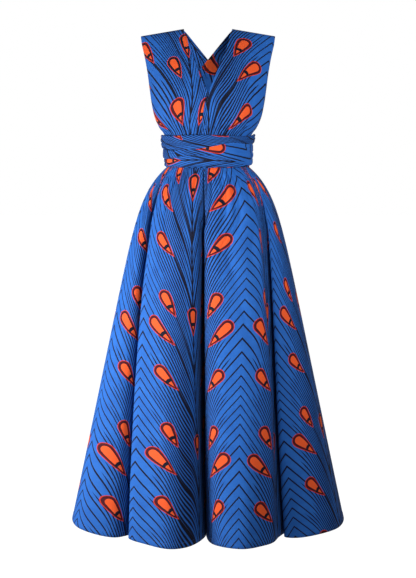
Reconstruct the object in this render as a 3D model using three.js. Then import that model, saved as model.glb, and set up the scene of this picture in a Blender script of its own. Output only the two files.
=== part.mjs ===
// Wide-leg wrap jumpsuit in printed cotton, hollow and in the pose that it has when worn.
//
// Millimetres, +Z up, front towards -Y, the wearer's left towards +X. The origin is where the jumpsuit hangs:
// midway between the shoulders, level with the tops of the straps beside the neck.
//
// Each cloth piece is a wall on a smooth form. Its inner face lies on the form and its outer face is a wall's
// thickness further out. Two broad straps leave the front waist, pass over the shoulders, cross on the back and
// wind round the waist: the wearer's right strap twice, the left strap once.
import * as THREE from "three";

// ---------------------------------------------------------------- driving dimensions

const cloth = { wall: 1.5, seam: 0.3 };
const halfSeam = cloth.seam / 2;

const levels = {
  neckSide: -1.5, // inner face of a strap beside the neck
  shoulderTip: -21.5, // inner face of a strap at the end of the shoulder
  bandTop: -325, // seam between the straps and the waistband, at the side
  bandFoot: -381, // seam between the waistband and the legs, at the side
  frontDip: 4, // how much lower both seams lie at the centre front
  hem: -1362, // at the centre
  hemRise: 22, // how much higher the hem is at the side seams
};

const waist = { halfWidth: 113, front: 86, back: 84, power: 2.3 };
const hem = { halfWidth: 371, front: 198, back: 198 };

// How the legs leave the waist: a short round of hip, then a straight cone.
const flare = { atHip: 0.229, hipDrop: 65 };

// The crotch, the inseam's place below it, and how far left of the centre plane the front seam starts.
const crotch = { curveStart: 130, drop: 250, inseamY: 12, inseamX: 12, seamAside: -7 };

// Each row is a fold of one leg, from the notch at the centre front round the side to the centre back. turn is
// its place on the waist in degrees from the centre front. The other columns are its places half way down the
// leg and at the hem.
const legFolds = {
  right: [
    { fold: "front notch", turn: 0.6, midX: 3, midY: -26, hemX: 4, hemY: -106 },
    { fold: "inner corner", turn: 4, midX: 37, midY: -127, hemX: 58, hemY: -180 },
    { fold: "front crest", turn: 20, midX: 90, midY: -145, hemX: 95, hemY: -198 },
    { fold: "front brow", turn: 37, midX: 146, midY: -126, hemX: 156, hemY: -165 },
    { fold: "front edge", turn: 50, midX: 184, midY: -98, hemX: 206, hemY: -120 },
    { fold: "front tuck", turn: 57, midX: 146, midY: -36, hemX: 180, hemY: -66 },
    { fold: "side crest", turn: 66, midX: 206, midY: -88, hemX: 245, hemY: -122 },
    { fold: "side brow", turn: 78, midX: 254, midY: -64, hemX: 343, hemY: -84 },
    { fold: "side seam", turn: 90, midX: 271, midY: 0, hemX: 371, hemY: 0 },
    { fold: "rear side brow", turn: 102, midX: 256, midY: 62, hemX: 345, hemY: 80 },
    { fold: "rear side crest", turn: 115, midX: 204, midY: 85, hemX: 256, hemY: 118 },
    { fold: "rear tuck", turn: 124, midX: 149, midY: 38, hemX: 180, hemY: 66 },
    { fold: "rear edge", turn: 130, midX: 177, midY: 89, hemX: 210, hemY: 122 },
    { fold: "rear brow", turn: 144, midX: 141, midY: 125, hemX: 161, hemY: 172 },
    { fold: "rear crest", turn: 160, midX: 84, midY: 140, hemX: 98, hemY: 197 },
    { fold: "rear corner", turn: 175, midX: 29, midY: 123, hemX: 39, hemY: 174 },
    { fold: "rear notch", turn: 179.4, midX: 3, midY: 40, hemX: 4, hemY: 112 },
  ],
  left: [
    { fold: "front notch", turn: 0.6, midX: 3, midY: -26, hemX: 4, hemY: -106 },
    { fold: "inner corner", turn: 1.4, midX: 8, midY: -122, hemX: 31, hemY: -166 },
    { fold: "front crest", turn: 18, midX: 86, midY: -145, hemX: 92, hemY: -198 },
    { fold: "front brow", turn: 34, midX: 143, midY: -134, hemX: 149, hemY: -172 },
    { fold: "front border", turn: 41, midX: 163, midY: -118, hemX: 171, hemY: -152 },
    { fold: "front flank", turn: 47, midX: 166, midY: -78, hemX: 190, hemY: -108 },
    { fold: "front tuck", turn: 54, midX: 196, midY: -32, hemX: 221, hemY: -60 },
    { fold: "side edge", turn: 61, midX: 181, midY: -84, hemX: 206, hemY: -112 },
    { fold: "side crest", turn: 69, midX: 211, midY: -89, hemX: 245, hemY: -123 },
    { fold: "side brow", turn: 80, midX: 254, midY: -66, hemX: 343, hemY: -86 },
    { fold: "side seam", turn: 90, midX: 271, midY: 0, hemX: 371, hemY: 0 },
    { fold: "rear side brow", turn: 101, midX: 256, midY: 64, hemX: 344, hemY: 82 },
    { fold: "rear side crest", turn: 113, midX: 202, midY: 88, hemX: 251, hemY: 121 },
    { fold: "rear tuck", turn: 122, midX: 150, midY: 40, hemX: 178, hemY: 70 },
    { fold: "rear edge", turn: 128, midX: 175, midY: 92, hemX: 204, hemY: 126 },
    { fold: "rear brow", turn: 143, midX: 137, midY: 126, hemX: 155, hemY: 174 },
    { fold: "rear crest", turn: 159, midX: 80, midY: 138, hemX: 90, hemY: 195 },
    { fold: "rear corner", turn: 175, midX: 27, midY: 121, hemX: 35, hemY: 172 },
    { fold: "rear notch", turn: 179.4, midX: 3, midY: 40, hemX: 4, hemY: 112 },
  ],
};

// Each row is a level of a strap between the shoulder and the waist. share is how far down it is, inner and
// outer are its two edges from the centre (less than 0 is past the centre), form is the half width of the form
// that it lies on, and reach is how far that form stands out to the front or back.
const strapLevels = {
  front: [
    { share: 0, inner: 67, outer: 184, form: 190, reach: 0 },
    { share: 0.008, inner: 66, outer: 184, form: 190, reach: 11 },
    { share: 0.03, inner: 64, outer: 183, form: 189, reach: 21 },
    { share: 0.09, inner: 57, outer: 180, form: 187, reach: 36 },
    { share: 0.2, inner: 48, outer: 172, form: 181, reach: 58 },
    { share: 0.34, inner: 29, outer: 164, form: 173, reach: 84 },
    { share: 0.48, inner: 12, outer: 158, form: 166, reach: 104 },
    { share: 0.62, inner: -6, outer: 152, form: 158, reach: 114 },
    { share: 0.74, inner: -13, outer: 144, form: 149, reach: 111 },
    { share: 0.83, inner: -17, outer: 132, form: 136, reach: 102 },
    { share: 0.88, inner: -19, outer: 121, form: 124, reach: 94 },
    { share: 0.93, inner: -20, outer: 114, form: 116, reach: 88.5 },
    { share: 1, inner: -21, outer: 111, form: 113, reach: 86 },
  ],
  back: [
    { share: 0, inner: 67, outer: 184, form: 190, reach: 0 },
    { share: 0.008, inner: 66, outer: 184, form: 190, reach: 11 },
    { share: 0.03, inner: 58, outer: 183, form: 189, reach: 21 },
    { share: 0.09, inner: 40, outer: 180, form: 187, reach: 38 },
    { share: 0.2, inner: 9, outer: 170, form: 180, reach: 58 },
    { share: 0.34, inner: -29, outer: 148, form: 168, reach: 75 },
    { share: 0.48, inner: -64, outer: 118, form: 155, reach: 84 },
    { share: 0.62, inner: -90, outer: 86, form: 143, reach: 88 },
    { share: 0.76, inner: -106, outer: 55, form: 132, reach: 88 },
    { share: 0.89, inner: -110, outer: 28, form: 120, reach: 86 },
    { share: 1, inner: -107, outer: 8, form: 113, reach: 84 },
  ],
};
const strapLift = { front: 3, back: 3.4 }; // how far the upper of two crossing straps stands off the form

// Each row is a place on a strap as it winds round the waist. turn is the angle from the centre front towards
// the wearer's left, z the level of its middle, width how wide it is bunched, and lift and foot how far its
// upper and lower edge stand off the form.
const wrapRoutes = {
  right: [
    { turn: -536, z: -316, width: 20, lift: 10.2, foot: 10.2 },
    { turn: -515, z: -315, width: 28, lift: 10.8, foot: 10.2 },
    { turn: -490, z: -313, width: 34, lift: 13, foot: 10.2 },
    { turn: -450, z: -311, width: 38, lift: 13.2, foot: 10.2 },
    { turn: -405, z: -317, width: 37, lift: 12.8, foot: 10 },
    { turn: -370, z: -316, width: 38, lift: 11.8, foot: 10 },
    { turn: -335, z: -309, width: 20, lift: 11.8, foot: 10 },
    { turn: -300, z: -308, width: 22, lift: 12.8, foot: 10 },
    { turn: -270, z: -302, width: 25, lift: 13.2, foot: 10 },
    { turn: -225, z: -317, width: 32, lift: 13, foot: 10.2 },
    { turn: -180, z: -348, width: 32, lift: 10, foot: 10 },
    { turn: -140, z: -360, width: 34, lift: 8.6, foot: 6 },
    { turn: -110, z: -363, width: 35, lift: 2.6, foot: 2.6 },
    { turn: -90, z: -363, width: 34, lift: 2.5, foot: 2.5 },
    { turn: -45, z: -362, width: 40, lift: 2.5, foot: 2.5 },
    { turn: -10, z: -361, width: 44, lift: 2.5, foot: 2.5 },
    { turn: 25, z: -364, width: 38, lift: 2.5, foot: 2.5 },
    { turn: 60, z: -366, width: 28, lift: 2.5, foot: 2.5 },
    { turn: 95, z: -362, width: 20, lift: 2.5, foot: 2.5 },
  ],
  left: [
    { turn: -95, z: -343, width: 30, lift: 6.3, foot: 5.9 },
    { turn: -90, z: -343, width: 30, lift: 6.3, foot: 5.9 },
    { turn: -55, z: -348, width: 24, lift: 6.1, foot: 5.9 },
    { turn: -27, z: -343, width: 20, lift: 6.1, foot: 5.9 },
    { turn: 0, z: -335, width: 32, lift: 6.7, foot: 5.9 },
    { turn: 25, z: -339, width: 50, lift: 7.2, foot: 5.9 },
    { turn: 60, z: -346, width: 62, lift: 6.7, foot: 5.9 },
    { turn: 90, z: -345, width: 58, lift: 6.7, foot: 5.9 },
    { turn: 135, z: -354, width: 44, lift: 6.1, foot: 5.7 },
    { turn: 180, z: -346, width: 36, lift: 5.9, foot: 5.1 },
    { turn: 225, z: -334, width: 22, lift: 5.9, foot: 5.3 },
    { turn: 256, z: -333, width: 16, lift: 4, foot: 3.4 },
  ],
};
const wrapWall = { edge: 1.3, crown: 2.6, pleats: 3, pleatDepth: 0.3 };

const gathers = { legDepth: 2.6, legFade: 60, strapDepth: 1, strapFade: 0.16 };

const detail = {
  leg: { columns: 26, rows: 9 },
  frontStrap: { columns: 16, rows: 12 },
  backStrap: { columns: 9, rows: 18 },
  waistband: { columns: 36, rows: 1 },
  wrap: { rows: 5, degreesPerColumn: 12 },
};

const finish = { colour: 0x1f57c8, roughness: 0.62, metalness: 0 };

// ---------------------------------------------------------------- small helpers

const degrees = Math.PI / 180;
const mix = (a, b, t) => a + (b - a) * t;
const clamp = (t) => Math.min(Math.max(t, 0), 1);
const ease = (t) => clamp(t) * clamp(t) * (3 - 2 * clamp(t));

// A column of a table at a place counted in rows, on a smooth curve through them: 1.5 is between rows 1 and 2.
function between(rows, key, place) {
  const i = Math.min(Math.max(Math.floor(place), 0), rows.length - 2);
  const t = place - i;
  const [a, b, c, d] = [i - 1, i, i + 1, i + 2].map((k) => rows[Math.min(Math.max(k, 0), rows.length - 1)][key]);
  return 0.5 * (2 * b + (c - a) * t + (2 * a - 5 * b + 4 * c - d) * t * t + (3 * b - a - 3 * c + d) * t ** 3);
}

// The place in a table, counted in rows, where its rising first column has a value.
function placeOf(rows, key, value) {
  const after = rows.findIndex((row) => row[key] > value);
  const i = after < 0 ? rows.length - 2 : Math.max(after - 1, 0);
  return i + (value - rows[i][key]) / (rows[i + 1][key] - rows[i][key]);
}

// A point of an oval with squared shoulders, at a turn from the centre front.
function oval(turn, halfWidth, front, back, power) {
  const [s, c] = [Math.sin(turn * degrees), Math.cos(turn * degrees)];
  const round = (v) => Math.sign(v) * Math.abs(v) ** (2 / power);
  return { x: halfWidth * round(s), y: -(c > 0 ? front : back) * round(c) };
}

const dip = (turn) => levels.frontDip * Math.max(Math.cos(turn * degrees), 0) ** 2;

// ---------------------------------------------------------------- a cloth wall

// Builds a closed wall on surface(u, v). outward is 1 or -1, the side of the surface that the wall grows on.
// ripple(u, v) moves both faces outwards, wall(v) is the thickness, and inset says how far each of the four edges
// stops short of its seam. A piece with a side stays on that side of the centre line, with its whole wall, and a
// level one is offset sideways only, which keeps its top and its hem level.
function clothWall(name, surface, options) {
  const { across, down, columns, rows, outward, side, level = false, closed = false } = options;
  const { ripple = () => 0, wall = () => cloth.wall, rowEase = 1, inset = {} } = options;
  const step = [(across[1] - across[0]) * 1e-3, (down[1] - down[0]) * 1e-3];
  const slope = (u, v, du, dv) => surface(u + du, v + dv).sub(surface(u - du, v - dv));

  const inner = [];
  const outer = [];
  for (let row = 0; row <= rows; row += 1) {
    inner.push([]);
    outer.push([]);
    for (let column = 0; column < (closed ? columns : columns + 1); column += 1) {
      let u = mix(across[0], across[1], column / columns);
      let v = mix(down[0], down[1], (row / rows) ** rowEase);
      const alongU = slope(u, v, step[0], 0);
      const alongV = slope(u, v, 0, step[1]);
      const shiftU = (2 * step[0]) / alongU.length();
      const shiftV = (2 * step[1]) / alongV.length();
      if (inset.start && column === 0) u += shiftU * inset.start;
      if (inset.end && column === columns) u -= shiftU * inset.end;
      if (inset.top && row === 0) v += shiftV * inset.top;
      if (inset.foot && row === rows) v -= shiftV * inset.foot;
      const normal = alongU.cross(alongV);
      if (level) normal.z = 0;
      normal.normalize().multiplyScalar(outward);
      const lifted = (height, besideSeam) => {
        const point = surface(u, v).addScaledVector(normal, height);
        if (side) {
          const centre = centreLine(v);
          point.x = centre + side * Math.max(side * (point.x - centre), besideSeam);
        }
        return point;
      };
      const lift = ripple(u, v);
      inner[row].push(lifted(lift, halfSeam + cloth.wall));
      outer[row].push(lifted(lift + wall(v), halfSeam));
    }
  }
  return solid(name, inner, outer, closed);
}

// Joins two grids of points into one closed mesh, with a rim round their edges.
function solid(name, inner, outer, closed) {
  const [rows, columns] = [inner.length, inner[0].length];
  const points = [...inner.flat(), ...outer.flat()];
  const at = (face, row, column) => face * rows * columns + row * columns + (column % columns);
  const triangles = [];
  const quad = (a, b, c, d) => triangles.push(a, b, c, a, c, d);
  const spans = closed ? columns : columns - 1;
  for (let row = 0; row < rows - 1; row += 1) {
    for (let column = 0; column < spans; column += 1) {
      const corners = [[row, column], [row, column + 1], [row + 1, column + 1], [row + 1, column]];
      quad(...corners.map(([r, c]) => at(0, r, c)));
      quad(...corners.map(([r, c]) => at(1, r, c)).reverse());
    }
  }
  for (let column = 0; column < spans; column += 1) {
    quad(at(1, 0, column), at(1, 0, column + 1), at(0, 0, column + 1), at(0, 0, column));
    quad(at(0, rows - 1, column), at(0, rows - 1, column + 1), at(1, rows - 1, column + 1), at(1, rows - 1, column));
  }
  for (let row = 0; row < rows - 1 && !closed; row += 1) {
    quad(at(0, row, 0), at(0, row + 1, 0), at(1, row + 1, 0), at(1, row, 0));
    quad(at(1, row, columns - 1), at(1, row + 1, columns - 1), at(0, row + 1, columns - 1), at(0, row, columns - 1));
  }
  if (signedVolume(points, triangles) < 0) triangles.reverse();

  const geometry = new THREE.BufferGeometry().setFromPoints(points);
  geometry.setIndex(triangles);
  geometry.computeVertexNormals();
  const { colour, roughness, metalness } = finish;
  const mesh = new THREE.Mesh(geometry, new THREE.MeshStandardMaterial({ color: colour, roughness, metalness }));
  mesh.name = name;
  return mesh;
}

function signedVolume(points, triangles) {
  let volume = 0;
  for (let i = 0; i < triangles.length; i += 3) {
    const [a, b, c] = triangles.slice(i, i + 3).map((k) => points[k]);
    volume += a.dot(b.clone().cross(c)) / 6;
  }
  return volume;
}

// ---------------------------------------------------------------- legs

const legLength = levels.bandFoot - levels.hem;

// How wide and how deep a leg's form is at a share of its length.
function legForm(share) {
  const drop = share * legLength;
  const open = flare.atHip * (1 - Math.exp(-drop / flare.hipDrop)) + (1 - flare.atHip) * share;
  const size = (key) => mix(waist[key], hem[key], open);
  return { drop, halfWidth: size("halfWidth"), front: size("front"), back: size("back") };
}

// A value with a smooth course from the waist (share 0) through half way down to the hem (share 1).
function course(waistValue, midValue, hemValue, share) {
  const [top, mid, foot] = [(1 - share) * (1 - 2 * share), 4 * share * (1 - share), share * (2 * share - 1)];
  return waistValue * top + midValue * mid + hemValue * foot;
}

const centreLine = (share) => crotch.seamAside * (1 - share);

// The section of one leg at a share of its length: the folds' places, from the centre front seam or inseam
// round the side to the centre back. x is measured from the centre line towards the leg's side.
function legSection(which, share) {
  const [here, half] = [legForm(share), legForm(0.5)];
  const points = legFolds[which].map(({ turn, midX, midY, hemX, hemY }) => {
    const side = hemY < 0 ? "front" : "back";
    const start = oval(turn, 1, 1, 1, waist.power);
    return new THREE.Vector3(
      here.halfWidth * course(start.x, midX / half.halfWidth, hemX / hem.halfWidth, share),
      here[side] * course(start.y, midY / half[side], hemY / hem[side], share),
      mix(levels.bandFoot - dip(turn), levels.hem + levels.hemRise * (hemX / hem.halfWidth) ** 4, share),
    );
  });
  // The notches are only as deep as the crotch has pulled them.
  const formed = ease(here.drop / crotch.drop);
  for (const [notch, next] of [[points[0], points[1]], [points.at(-1), points.at(-2)]]) {
    notch.y = mix(next.y, notch.y, formed);
  }
  // Above the crotch the ends are the centre seams, and below it they are the two sides of the inseam.
  const curved = ease((here.drop - crotch.curveStart) / (crotch.drop - crotch.curveStart));
  const apart = crotch.inseamX * clamp((here.drop - crotch.drop) / (legLength - crotch.drop));
  const seam = (notch) => new THREE.Vector3(
    cloth.wall + halfSeam + apart,
    mix(notch.y, crotch.inseamY, curved),
    notch.z,
  );
  return [seam(points[0]), ...points, seam(points.at(-1))];
}

// One leg panel. The front panel runs from the centre to the side seam, and the back panel on to the centre.
function legPanel(name, which, front) {
  const side = which === "left" ? 1 : -1;
  const last = legFolds[which].length + 1;
  const seamPlace = 1 + legFolds[which].findIndex(({ fold }) => fold === "side seam");
  const across = front ? [0, seamPlace] : [seamPlace, last];
  const { columns, rows } = detail.leg;
  const surface = (u, v) => {
    const curve = new THREE.CatmullRomCurve3(legSection(which, v), false, "centripetal");
    const point = curve.getPoint(clamp(u / last));
    const aside = centreLine(v) * (1 - clamp(point.x / legForm(v).halfWidth));
    return new THREE.Vector3(side * point.x + aside, point.y, point.z);
  };
  const ripple = (u, v) => {
    const place = (u - across[0]) / (across[1] - across[0]);
    const ends = ease(place / 0.12) * ease((1 - place) / 0.12);
    return gathers.legDepth * ends * Math.exp((-v * legLength) / gathers.legFade) * Math.cos(Math.PI * place * columns);
  };
  return clothWall(name, surface, {
    across, down: [0, 1], columns, rows, rowEase: 1.5, outward: -side, side, ripple, level: true,
    inset: { start: 0.8 * cloth.seam, end: 0.8 * cloth.seam, top: 2 * cloth.seam },
  });
}

// ---------------------------------------------------------------- straps

// The surface of a strap between the shoulder and the waist. u is 0 at its inner edge and 1 at its outer one,
// and v counts the rows of its table. Above the shoulder's crest it goes on as its own mirror image.
function strapSurface(face, side, lifted) {
  const table = strapLevels[face];
  const sign = face === "front" ? -1 : 1;
  return (u, v) => {
    const place = Math.abs(v);
    const value = (key) => between(table, key, place);
    const x = mix(value("inner"), value("outer"), u);
    const lift = lifted(x, value("share"));
    const across = clamp(Math.abs(x) / (value("form") + lift));
    const depth = (value("reach") + lift) * (1 - across ** waist.power) ** (1 / waist.power);
    const turn = Math.asin(clamp(Math.abs(x) / waist.halfWidth)) / degrees;
    const top = mix(levels.neckSide, levels.shoulderTip, u);
    const foot = levels.bandTop - (face === "front" ? dip(turn) : 0);
    return new THREE.Vector3(side * x, sign * depth * Math.sign(v || 1), mix(top, foot, value("share")));
  };
}

function frontStrap(name, side, upper) {
  const { columns, rows } = detail.frontStrap;
  const lifted = (x, share) => (upper ? strapLift.front * ease((60 - x) / 30) * ease((share - 0.5) / 0.15) : 0);
  const last = strapLevels.front.length - 1;
  const ripple = (u, v) => {
    const share = between(strapLevels.front, "share", v);
    const ends = ease((u - 0.3) / 0.15) * ease((1 - u) / 0.1);
    return gathers.strapDepth * ends * Math.exp((share - 1) / gathers.strapFade) * Math.cos(Math.PI * u * columns);
  };
  return clothWall(name, strapSurface("front", side, lifted), {
    across: [0, 1], down: [0, last], columns, rows, outward: -side, ripple, inset: { top: halfSeam, foot: cloth.seam },
  });
}

function backStrap(name, side, upper) {
  const { columns, rows } = detail.backStrap;
  const lifted = (x, share) => (upper ? strapLift.back * ease((share - 0.02) / 0.1) : 0);
  return clothWall(name, strapSurface("back", side, lifted), {
    across: [0, 1], down: [0, strapLevels.back.length - 1], columns, rows, outward: side,
    inset: { top: halfSeam, foot: cloth.seam },
  });
}

// ---------------------------------------------------------------- waist

function waistPoint(turn, z, lift) {
  const { x, y } = oval(turn, waist.halfWidth + lift, waist.front + lift, waist.back + lift, waist.power);
  return new THREE.Vector3(x, y, z);
}

function waistband(name) {
  const surface = (u, v) => waistPoint(u, mix(levels.bandTop, levels.bandFoot, v) - dip(u), 0);
  return clothWall(name, surface, {
    across: [-180, 180], down: [0, 1], ...detail.waistband, outward: -1, closed: true,
    inset: { top: cloth.seam, foot: cloth.seam },
  });
}

// One stretch of a strap wound round the waist, bunched into soft pleats along its length.
function wrapStretch(name, which, from, to, inset) {
  const route = wrapRoutes[which];
  const surface = (u, v) => {
    const place = placeOf(route, "turn", u);
    const value = (key) => between(route, key, place);
    return waistPoint(u, value("z") + (0.5 - v) * value("width"), mix(value("lift"), value("foot"), v));
  };
  const { edge, crown, pleats, pleatDepth } = wrapWall;
  const wall = (v) => {
    const round = Math.sqrt(Math.max(Math.sin(Math.PI * v), 0));
    return mix(edge, crown, round) - pleatDepth * round * Math.cos(2 * Math.PI * pleats * v);
  };
  return clothWall(name, surface, {
    across: [from, to], down: [0, 1], columns: Math.ceil((to - from) / detail.wrap.degreesPerColumn),
    rows: detail.wrap.rows, outward: -1, wall, inset,
  });
}

// ---------------------------------------------------------------- the jumpsuit

const jumpsuit = new THREE.Group();
for (const which of ["right", "left"]) {
  jumpsuit.add(legPanel(`leg_${which}_front`, which, true));
  jumpsuit.add(legPanel(`leg_${which}_back`, which, false));
}
jumpsuit.add(waistband("waistband"));
jumpsuit.add(frontStrap("strap_right_front", -1, false));
jumpsuit.add(frontStrap("strap_left_front", 1, true));
jumpsuit.add(backStrap("strap_right_back", -1, true));
jumpsuit.add(backStrap("strap_left_back", 1, false));
jumpsuit.add(wrapStretch("wrap_right_front_low", "right", -90, 95, { start: halfSeam }));
jumpsuit.add(wrapStretch("wrap_right_back", "right", -270, -90, { start: halfSeam, end: halfSeam }));
jumpsuit.add(wrapStretch("wrap_right_front_high", "right", -450, -270, { start: halfSeam, end: halfSeam }));
jumpsuit.add(wrapStretch("wrap_right_end", "right", -536, -450, { end: halfSeam }));
jumpsuit.add(wrapStretch("wrap_left_front", "left", -95, 90, { end: halfSeam }));
jumpsuit.add(wrapStretch("wrap_left_end", "left", 90, 256, { start: halfSeam }));

export default jumpsuit;
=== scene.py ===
import math
from functools import partial

import bpy
import numpy as np
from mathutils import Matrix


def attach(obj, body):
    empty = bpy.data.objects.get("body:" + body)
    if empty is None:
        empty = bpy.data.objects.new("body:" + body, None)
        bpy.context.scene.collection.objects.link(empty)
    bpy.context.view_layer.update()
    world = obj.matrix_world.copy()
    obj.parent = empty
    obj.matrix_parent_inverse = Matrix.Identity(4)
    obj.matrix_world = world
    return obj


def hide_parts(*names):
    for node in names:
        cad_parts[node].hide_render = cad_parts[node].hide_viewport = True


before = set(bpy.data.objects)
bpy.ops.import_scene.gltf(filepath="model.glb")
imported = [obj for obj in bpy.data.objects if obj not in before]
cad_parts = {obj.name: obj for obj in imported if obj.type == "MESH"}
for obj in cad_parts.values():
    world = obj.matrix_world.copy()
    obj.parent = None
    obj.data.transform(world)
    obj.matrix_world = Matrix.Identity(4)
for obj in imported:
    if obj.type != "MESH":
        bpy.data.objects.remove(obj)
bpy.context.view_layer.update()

mm = 0.001  # the tables are in millimetres and degrees, and the scene is in metres
body = "root"


def mix(a, b, t):
    return a + (b - a) * t


def ease(t):
    t = np.clip(t, 0, 1)
    return t * t * (3 - 2 * t)


def between(values, place):
    # a smooth curve through evenly counted rows: 1.5 is halfway from row 1 to row 2
    values = np.asarray(values, float)
    place = np.asarray(place, float)
    i = np.clip(np.floor(place).astype(int), 0, len(values) - 2)
    t = place - i
    a, b, c, d = (values[np.clip(i + k, 0, len(values) - 1)] for k in (-1, 0, 1, 2))
    square = (2 * a - 5 * b + 4 * c - d) * t**2
    cube = (3 * b - a - 3 * c + d) * t**3
    return 0.5 * (2 * b + (c - a) * t + square + cube)


def oval(turn, halfWidth, front, back, power):
    # an oval with squared shoulders, at a turn in degrees from the centre front
    s, c = np.sin(np.radians(turn)), np.cos(np.radians(turn))
    return (
        halfWidth * np.sign(s) * np.abs(s) ** (2 / power),
        -np.where(c > 0, front, back) * np.sign(c) * np.abs(c) ** (2 / power),
    )


def curvePoints(points, place):
    # points (rows, n, 3) joined by a smooth curve, read at places (rows, m) counted in points
    first = 2 * points[:, :1] - points[:, 1:2]
    last = 2 * points[:, -1:] - points[:, -2:-1]
    chain = np.concatenate([first, points, last], axis=1)
    i = np.clip(np.floor(place).astype(int), 0, points.shape[1] - 2)
    t = (place - i)[..., None]
    row = np.arange(len(points))[:, None]
    a, b, c, d = (chain[row, i + k] for k in range(4))
    steps = ((a, b), (b, c), (c, d))
    ab, bc, cd = (np.sqrt(np.linalg.norm(q - p, axis=-1, keepdims=True)) + 1e-6 for p, q in steps)
    leave = bc * ((b - a) / ab - (c - a) / (ab + bc) + (c - b) / bc)
    arrive = bc * ((c - b) / bc - (d - b) / (bc + cd) + (d - c) / cd)
    square = (3 * (c - b) - 2 * leave - arrive) * t**2
    cube = (2 * (b - c) + leave + arrive) * t**3
    return b + leave * t + square + cube


def throughAnchors(at, knots, values):
    # a smooth rising line through (knots, values), at its natural scale beyond its ends
    rises = np.diff(values) / np.diff(knots)
    slopes = np.concatenate([[1], 2 * rises[:-1] * rises[1:] / (rises[:-1] + rises[1:]), [1]])
    i = np.clip(np.searchsorted(knots, at) - 1, 0, len(knots) - 2)
    span = knots[i + 1] - knots[i]
    t = (at - knots[i]) / span
    inside = (
        values[i] * (2 * t**3 - 3 * t**2 + 1)
        + slopes[i] * span * (t**3 - 2 * t**2 + t)
        + values[i + 1] * (3 * t**2 - 2 * t**3)
        + slopes[i + 1] * span * (t**3 - t**2)
    )
    before = values[0] + slopes[0] * (at - knots[0])
    after = values[-1] + slopes[-1] * (at - knots[-1])
    return np.where(at < knots[0], before, np.where(at > knots[-1], after, inside))


def gridNormals(points):
    along = np.gradient(points, axis=1)
    down = np.gradient(points, axis=0)
    normal = np.cross(along, down)
    return normal / (np.linalg.norm(normal, axis=-1, keepdims=True) + 1e-12)


def pathLength(points, axis):
    steps = np.linalg.norm(np.diff(points, axis=axis), axis=-1)
    start = np.zeros_like(np.take(steps, [0], axis=axis))
    return np.concatenate([start, np.cumsum(steps, axis=axis)], axis=axis)


def putInScene(name, data):
    holder = bpy.data.objects.new(name, data)
    bpy.context.scene.collection.objects.link(holder)
    return holder


def addNode(tree, kind, inputs=None, **options):
    # a new node with its options, and its inputs linked or set, by name or by number
    node = tree.nodes.new(kind)
    for option, value in options.items():
        setattr(node, option, value)
    for socket, value in (inputs or {}).items():
        if isinstance(value, bpy.types.NodeSocket):
            tree.links.new(value, node.inputs[socket])
        else:
            node.inputs[socket].default_value = value
    return node


def newMaterial(name, finish):
    # finish is the shader's own numbers, by the names of its sockets
    material = bpy.data.materials.new(name)
    material.use_nodes = True
    shader = material.node_tree.nodes["Principled BSDF"]
    for socket, value in finish.items():
        shader.inputs[socket].default_value = value
    return material, material.node_tree, shader


studio = {
    "distance": 2800,
    "level": -450,
    "shift": -0.1673,
    "lens": 63.4,
    "sensor": 36,
    "farthest": 200,  # metres
    "floorLevel": -1440,
    "floorReach": 40000,
    "backdrop": 1.0,  # how bright the floor and the backdrop look
    "bounce": 0.26,  # how much of that reaches the cloth
}
floorFinish = {
    "Base Color": (0.12, 0.12, 0.12, 1),
    "Roughness": 0.9,
    "Specular IOR Level": 0.0,
    "Emission Color": (1, 1, 1, 1),
}
lamps = {
    # aside is to the viewer's left, and beam is the angle across the light
    "keyLight": {"power": 16, "size": 900, "aside": 66, "distance": 2200, "level": -820, "beam": 72},
    "fillLight": {"power": 7.5, "size": 700, "aside": -22, "distance": 1700, "level": -300, "beam": 90},
    "backLight": {"power": 15, "size": 900, "aside": 172, "distance": 2300, "level": -650, "beam": 80},
}


def makeCamera():
    camera = bpy.data.cameras.new("camera")
    camera.lens = studio["lens"]
    camera.sensor_width = studio["sensor"]
    camera.shift_y = studio["shift"]
    camera.clip_end = studio["farthest"]
    holder = putInScene("camera", camera)
    holder.location = (0, -studio["distance"] * mm, studio["level"] * mm)
    holder.rotation_euler = (math.radians(90), 0, 0)
    bpy.context.scene.camera = holder


def pale(tree):
    # looks as bright as the backdrop, and lights the cloth only as much as the bounce
    seen = addNode(tree, "ShaderNodeLightPath").outputs["Is Camera Ray"]
    inputs = {"Value": seen, "To Min": studio["bounce"], "To Max": studio["backdrop"]}
    return addNode(tree, "ShaderNodeMapRange", inputs).outputs[0]


def makeLamp(name, made):
    lamp = bpy.data.lights.new(name, "AREA")
    lamp.energy = made["power"]
    lamp.shape = "DISK"
    lamp.size = made["size"] * mm
    lamp.spread = math.radians(made["beam"])
    holder = putInScene(name, lamp)
    aside = math.radians(made["aside"])
    reach = made["distance"] * mm
    holder.location = (-reach * math.sin(aside), -reach * math.cos(aside), made["level"] * mm)
    holder.rotation_euler = (math.radians(90), 0, -aside)


def makeSky():
    sky = bpy.data.worlds.new("studioSky")
    sky.use_nodes = True
    background = sky.node_tree.nodes["Background"]
    background.inputs["Color"].default_value = (1, 1, 1, 1)
    sky.node_tree.links.new(pale(sky.node_tree), background.inputs["Strength"])
    bpy.context.scene.world = sky
    bpy.context.scene.view_settings.view_transform = "Standard"


def makeFloor():
    reach, level = studio["floorReach"] * mm, studio["floorLevel"] * mm
    mesh = bpy.data.meshes.new("studioFloor")
    corners = [(x * reach, y * reach, level) for x, y in ((-1, -1), (1, -1), (1, 1), (-1, 1))]
    mesh.from_pydata(corners, [], [(0, 1, 2, 3)])
    floor = putInScene("studioFloor", mesh)
    paint, tree, shader = newMaterial("palePaint", floorFinish)
    tree.links.new(pale(tree), shader.inputs["Emission Strength"])
    mesh.materials.append(paint)


makeCamera()
for lampName, lampSizes in lamps.items():
    makeLamp(lampName, lampSizes)
makeSky()
makeFloor()
print("camera, light and floor made")


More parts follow.
